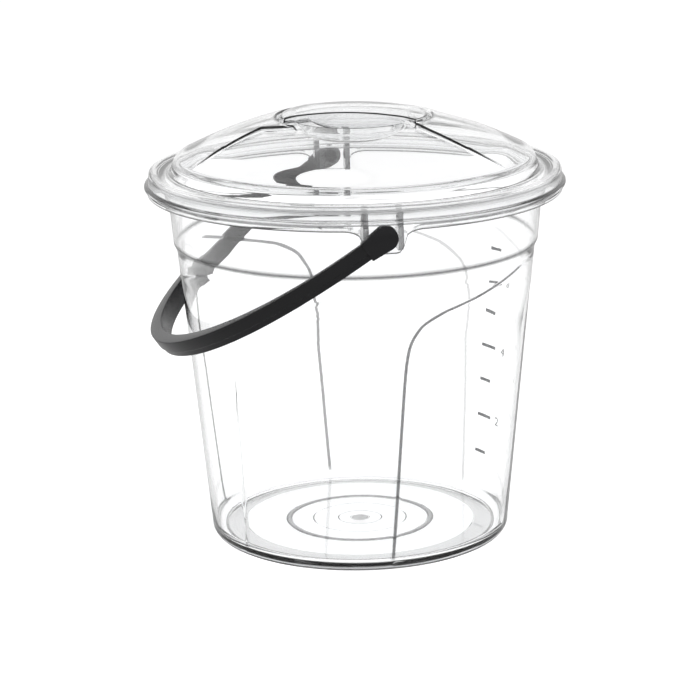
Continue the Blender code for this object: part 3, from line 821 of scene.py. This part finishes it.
# %% Clear plastic, black plastic and ink
EDGE_SHADE = "edge_shade"
CLEAR_TINT = (0.99, 0.992, 0.994, 1)
PAINTED_SHADE_TINT = (0.012, 0.0125, 0.014, 1)
PAINTED_GLOW_TINT = (0.86, 0.865, 0.87, 1)
SHADOW_TINT = (0.95, 0.953, 0.956, 1)
HAZE_TINT = (0.0, 0.03, 0.06, 1)
HAZE = 3.0
TRAPPED_AFTER = 11.0
TURNED_AWAY = 0.76
MIX_FIRST, MIX_SECOND, MIX_RESULT = 6, 7, 2


def node_of(tree, kind, **inputs):
    node = tree.nodes.new(kind)
    for key, value in inputs.items():
        node.inputs[key.replace("_", " ")].default_value = value
    return node


def math_node(tree, operation, first, second):
    """A math node whose two inputs are numbers or other nodes' outputs."""
    node = tree.nodes.new("ShaderNodeMath")
    node.operation = operation
    for socket, value in zip(node.inputs, (first, second)):
        if isinstance(value, float):
            socket.default_value = value
        else:
            tree.links.new(value, socket)
    return node.outputs[0]


def shader_mix(tree, share, first, second):
    mix = tree.nodes.new("ShaderNodeMixShader")
    tree.links.new(share, mix.inputs[0])
    tree.links.new(first, mix.inputs[1])
    tree.links.new(second, mix.inputs[2])
    return mix.outputs[0]


def new_material(name, **settings):
    """A material whose Principled shader has the settings given, and that shader."""
    material = bpy.data.materials.new(name)
    material.use_nodes = True
    shader = material.node_tree.nodes["Principled BSDF"]
    for key, value in settings.items():
        shader.inputs[key.replace("_", " ")].default_value = value
    return material, shader


def clear_plastic(name, rim_shade):
    """Clear plastic with painted shade in its colour: by its edge shade, and up to rim_shade where it turns
    from the eye.
    """
    material, shader = new_material(name, Transmission_Weight=1.0, IOR=1.49, Roughness=0.015)
    tree = material.node_tree
    # Painted shade: the colour mixes towards a dark tint by the edge shade, and where the surface turns
    # from the eye.
    edge = tree.nodes.new("ShaderNodeAttribute")
    edge.attribute_name = EDGE_SHADE
    facing = tree.nodes.new("ShaderNodeLayerWeight")
    grazing = node_of(tree, "ShaderNodeMapRange", From_Min=TURNED_AWAY, To_Max=rim_shade)
    tree.links.new(facing.outputs["Facing"], grazing.inputs["Value"])
    colour = tree.nodes.new("ShaderNodeMix")
    colour.data_type = "RGBA"
    colour.inputs[MIX_FIRST].default_value = CLEAR_TINT
    colour.inputs[MIX_SECOND].default_value = PAINTED_SHADE_TINT
    tree.links.new(math_node(tree, "MAXIMUM", edge.outputs["Fac"], grazing.outputs[0]), colour.inputs[0])
    tree.links.new(colour.outputs[MIX_RESULT], shader.inputs["Base Color"])
    path = tree.nodes.new("ShaderNodeLightPath")
    # Painted glow: a ray that bounces more than TRAPPED_AFTER times ends on a pale grey emission.
    trapped = node_of(tree, "ShaderNodeEmission", Color=PAINTED_GLOW_TINT)
    is_trapped = math_node(tree, "GREATER_THAN", path.outputs["Ray Depth"], TRAPPED_AFTER)
    settled = shader_mix(tree, is_trapped, shader.outputs[0], trapped.outputs[0])
    through = node_of(tree, "ShaderNodeBsdfTransparent", Color=SHADOW_TINT)
    surface = shader_mix(tree, path.outputs["Is Shadow Ray"], settled, through.outputs[0])
    depth = node_of(tree, "ShaderNodeVolumeAbsorption", Color=HAZE_TINT, Density=HAZE)
    out = tree.nodes["Material Output"]
    tree.links.new(surface, out.inputs["Surface"])
    tree.links.new(depth.outputs[0], out.inputs["Volume"])
    return material


def black_plastic(name):
    """Black plastic with a fine grain."""
    material, shader = new_material(
        name, Base_Color=(0.005, 0.005, 0.006, 1), Roughness=0.27, IOR=1.46, Specular_IOR_Level=0.28
    )
    tree = material.node_tree
    place = tree.nodes.new("ShaderNodeTexCoord")
    grain = node_of(tree, "ShaderNodeTexNoise", Scale=900.0, Detail=2.0)
    bump = node_of(tree, "ShaderNodeBump", Strength=0.08, Distance=0.0002)
    tree.links.new(place.outputs["Object"], grain.inputs["Vector"])
    tree.links.new(grain.outputs["Fac"], bump.inputs["Height"])
    tree.links.new(bump.outputs["Normal"], shader.inputs["Normal"])
    return material


def mark_ink(name):
    return new_material(name, Base_Color=(0.13, 0.134, 0.138, 1), Roughness=0.5)[0]


def finish(piece, material):
    piece.data.materials.clear()
    piece.data.materials.append(material)


finish(tub, clear_plastic("clear tub plastic", 0.75))
finish(lid, clear_plastic("clear lid plastic", 0.0))
finish(bail, black_plastic("black handle plastic"))
finish(graduation, mark_ink("grey mark ink"))
print("materials:", [material.name for material in bpy.data.materials])

# %% [markdown]
# The tub's edge shade is painted shade that follows its mouldings: the lines that climb the wall, the
# shoulder, the floor's rings, the lower edge of the rim and ears, and the ribs. The lid's painted shade
# comes from its rings.

# %% Painted shade on the edges
# Rings of the tub with painted shade: radius, height and strength
SHADED_RINGS = [
    (15.3, 3.1, 0.8), (33.0, 3.1, 0.35), (48.6, 2.5, 0.93), (49.3, THICK_RING_Z, 0.93),
    (50.9, THICK_RING_Z, 0.93), (51.6, 2.5, 0.93), (81.4, 3.0, 0.55), (93.6, 3.0, 0.5),
    (94.6, 2.8, 0.9), (95.4, 1.6, 0.9),
    (125.25, 208.5, 0.6), (125.8, 209.5, 0.965), (126.0, 209.9, 0.965), (126.05, 210.4, 0.95),
]
ON_RING = 0.12
# The painted shade of each line of the wall, counted from the one by the front ear
LINE_SHADES = (0.965, 0.3, 0.6, 0.94, 0.4, 0.15)
LINE_PLACES = [-0.05, 0.4, 2.35, 2.85]
BEHIND_LINE = 5
# Painted shade on the gate dot, the bead's foot and head under the rim and ears, and the ribs' sides.
GATE_SHADE, GATE_Z, GATE_R = 0.88, 3.6, 6.2
BEAD_R = 141.1
BEAD_FOOT_SHADE, BEAD_FOOT_Z = 0.93, 244.0
BEAD_HEAD_SHADE, BEAD_HEAD_Z = 0.9, 247.1
RIB_SHADE = 0.78


def ring_shade(points):
    radius, _ = polar_of(points)
    shade = np.zeros(len(points))
    for ring_r, ring_z, strength in SHADED_RINGS:
        near = np.hypot(radius - ring_r, points[:, 2] - ring_z) < ON_RING
        shade[near] = np.maximum(shade[near], strength)
    return shade


def line_shade(radius, degrees, height):
    """Painted shade on the step of each line, fading out at the wall's foot."""
    sector = 360 / SECTORS
    place = (degrees - SWEEP_START - wall_turn(height) + BEHIND_LINE) % 360
    strength = np.array(LINE_SHADES)[(place // sector).astype(int) % SECTORS]
    behind = np.radians(place % sector - BEHIND_LINE) * radius / line_spread(height, radius)
    on_line = np.interp(behind, LINE_PLACES, [0, 1, 1, 0]) * strength
    outside = (np.abs(radius - cone_radius(height)) < 1.4) & (height > CORNER) & (height < WALL_TOP)
    return np.where(outside, on_line * smooth_step(height, 2, 12), 0)


def on_rib(points, radius):
    """Which points lie on the two sides of a rib."""
    off_middle = np.abs(np.abs(points[:, 0]) - RIB_AT)
    height = points[:, 2]
    return (
        (np.abs(off_middle - RIB_T / 2) < 0.05) & (off_middle < RIB_T / 2 + 0.02)
        & (radius > 127.5) & (radius < 142.1) & (height > 229.5) & (height < 256.4)
    )


def tub_shade(points):
    radius, degrees = polar_of(points)
    height = points[:, 2]
    shade = np.maximum(line_shade(radius, degrees, height), ring_shade(points))
    shade = np.where((height < GATE_Z) & (radius < GATE_R), GATE_SHADE, shade)
    hanging = height + ear_drop(degrees)
    bead_foot = (radius > BEAD_R) & (np.abs(hanging - BEAD_FOOT_Z) < 0.6)
    bead_head = (radius > BEAD_R) & (np.abs(hanging - BEAD_HEAD_Z) < 0.4)
    shade = np.where(bead_foot, BEAD_FOOT_SHADE, np.where(bead_head, BEAD_HEAD_SHADE, shade))
    return np.where(on_rib(points, radius), RIB_SHADE, shade)


def set_edge_shade(piece, shade):
    attribute = piece.data.attributes.new(EDGE_SHADE, "FLOAT", "POINT")
    attribute.data.foreach_set("value", np.asarray(shade, np.float32))


# The painted shade is stored on the tub's and the lid's points.
set_edge_shade(tub, tub_shade(points_of(tub)))
set_edge_shade(lid, lid_shade)
print("edge shades set on", tub.name, "and", lid.name)

# %% [markdown]
# Each piece rides on the body that carries it and takes the place of its CAD node. The marks have
# no node of their own, so they only ride on the tub.

# %% Hang each piece on its body
for piece, node, body, slot in (
    (tub, "tub", "tub", "clear_plastic"),
    (lid, "lid", "lid", "lid_plastic"),
    (bail, "bail_handle", "bail", "black_plastic"),
):
    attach(piece, body)
    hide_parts(node)
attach(graduation, "tub")
print("pieces ride on their bodies")

# %% [markdown]
# ## Studio
# The floor is plain and white, and keeps the bucket's shadow. It glows at three levels: for the
# camera, for what is seen through the plastic, and, faintly, for what the plastic mirrors.

# %% Floor
FLOOR_SIZE = 6.0
FLOOR_HEIGHT = -0.0004
FLOOR_WHITE = 0.68
FLOOR_THROUGH = 0.66
FLOOR_MIRRORED = 0.1


def floor_glow(tree):
    """The strength of the floor's glow, by the kind of ray that sees it."""
    seen_by = tree.nodes.new("ShaderNodeLightPath")
    glow = math_node(tree, "MULTIPLY", seen_by.outputs["Is Camera Ray"], FLOOR_WHITE)
    through = math_node(tree, "MULTIPLY", seen_by.outputs["Is Transmission Ray"], FLOOR_THROUGH)
    mirrored = math_node(tree, "MULTIPLY", seen_by.outputs["Is Glossy Ray"], FLOOR_MIRRORED)
    return math_node(tree, "MAXIMUM", math_node(tree, "MAXIMUM", glow, through), mirrored)


deselect_all()
bpy.ops.mesh.primitive_plane_add(size=FLOOR_SIZE, location=(0, 0, FLOOR_HEIGHT))
floor = bpy.context.object
floor.name = "floor"
floor_material, floor_shader = new_material(
    "white floor", Base_Color=(0.8, 0.8, 0.8, 1), Roughness=0.6, Specular_IOR_Level=0.0,
    Emission_Color=(1, 1, 1, 1),
)
floor_tree = floor_material.node_tree
floor_tree.links.new(floor_glow(floor_tree), floor_shader.inputs["Emission Strength"])
finish(floor, floor_material)
print("floor at", FLOOR_HEIGHT, "m")

# %% [markdown]
# The world is white where the camera looks. A clear object shows its form by what it bends from
# the sides, so bent and mirrored light finds a world that is white at the horizon and grey above.
# Two soft lamps light the handle and throw the shadow.

# %% World and lamps
WORLD_SOFT = 0.44
WHITE_BELOW, GREY_ABOVE = 0.4, 0.9
WORLD_GREY = 0.4
LAMP_SIZE = 0.9
LAMP_TARGET = Vector((0, 0, 0.15))
LAMPS = (("key", (-0.7, -1.0, 1.6), 14), ("fill", (1.1, -0.6, 1.2), 7))


def make_world():
    world = bpy.data.worlds.new("studio")
    world.use_nodes = True
    tree = world.node_tree
    tree.nodes.clear()
    place = tree.nodes.new("ShaderNodeTexCoord")
    split = tree.nodes.new("ShaderNodeSeparateXYZ")
    tree.links.new(place.outputs["Generated"], split.inputs[0])
    path = tree.nodes.new("ShaderNodeLightPath")
    bent = node_of(
        tree, "ShaderNodeMapRange", From_Min=WHITE_BELOW, From_Max=GREY_ABOVE, To_Min=1.0, To_Max=WORLD_GREY
    )
    tree.links.new(split.outputs[2], bent.inputs["Value"])
    seen = math_node(tree, "MAXIMUM", path.outputs["Is Glossy Ray"], path.outputs["Is Transmission Ray"])
    level_bent = math_node(tree, "MULTIPLY", bent.outputs[0], seen)
    level_soft = math_node(tree, "MULTIPLY", math_node(tree, "SUBTRACT", 1.0, seen), WORLD_SOFT)
    level = math_node(tree, "ADD", level_bent, level_soft)
    level = math_node(tree, "MAXIMUM", level, path.outputs["Is Camera Ray"])
    back = node_of(tree, "ShaderNodeBackground", Color=(1, 1, 1, 1))
    tree.links.new(level, back.inputs["Strength"])
    tree.links.new(back.outputs[0], tree.nodes.new("ShaderNodeOutputWorld").inputs["Surface"])
    return world


def lamp(name, place, power):
    """A soft round lamp that neither the plastic's mirroring nor its bending shows."""
    data = bpy.data.lights.new(name, "AREA")
    data.shape = "DISK"
    data.size = LAMP_SIZE
    data.energy = power
    light = bpy.data.objects.new(name, data)
    bpy.context.scene.collection.objects.link(light)
    light.location = place
    light.rotation_euler = (LAMP_TARGET - Vector(place)).to_track_quat("-Z", "Y").to_euler()
    light.visible_glossy = False
    light.visible_transmission = False


bpy.context.scene.world = make_world()
for name, place, power in LAMPS:
    lamp(name, place, power)
print("world and lamps ready")

# %% [markdown]
# ## Camera
# The camera stands where the photographer's stood, worked out from the ellipses of the lid and tub.

# %% Camera
TURN = math.radians(-7.3)
PITCH = math.radians(14.98)
YAW = math.radians(-0.166)
ROLL = math.radians(-0.97)
CAMERA_PLACE = Vector((0, -1.8278, 0.6174))
PICTURE_PIXELS = 700
FOCAL_PIXELS = 2700
SENSOR_WIDTH = 36.0
BOUNCES = 24

spin = Matrix.Rotation(TURN, 3, "Z")
ahead = spin @ Vector((math.sin(YAW) * math.cos(PITCH), math.cos(YAW) * math.cos(PITCH), -math.sin(PITCH)))
level_right = spin @ Vector((math.cos(YAW), -math.sin(YAW), 0))
level_up = level_right.cross(ahead)
right = level_right * math.cos(ROLL) + level_up * math.sin(ROLL)
up = level_up * math.cos(ROLL) - level_right * math.sin(ROLL)
camera_data = bpy.data.cameras.new("camera")
camera_data.sensor_width = SENSOR_WIDTH
camera_data.lens = FOCAL_PIXELS * SENSOR_WIDTH / PICTURE_PIXELS
camera = bpy.data.objects.new("camera", camera_data)
bpy.context.scene.collection.objects.link(camera)
basis = Matrix((right, up, -ahead)).transposed().to_4x4()
camera.matrix_world = Matrix.Translation(spin @ CAMERA_PLACE) @ basis
bpy.context.scene.camera = camera
bpy.context.scene.view_settings.view_transform = "Standard"
bpy.context.scene.cycles.max_bounces = BOUNCES
bpy.context.scene.cycles.transmission_bounces = BOUNCES
bpy.context.scene.cycles.transparent_max_bounces = BOUNCES
print("camera at", tuple(round(place, 3) for place in camera.location))

# %% [markdown]

# %% End
print("scene built")
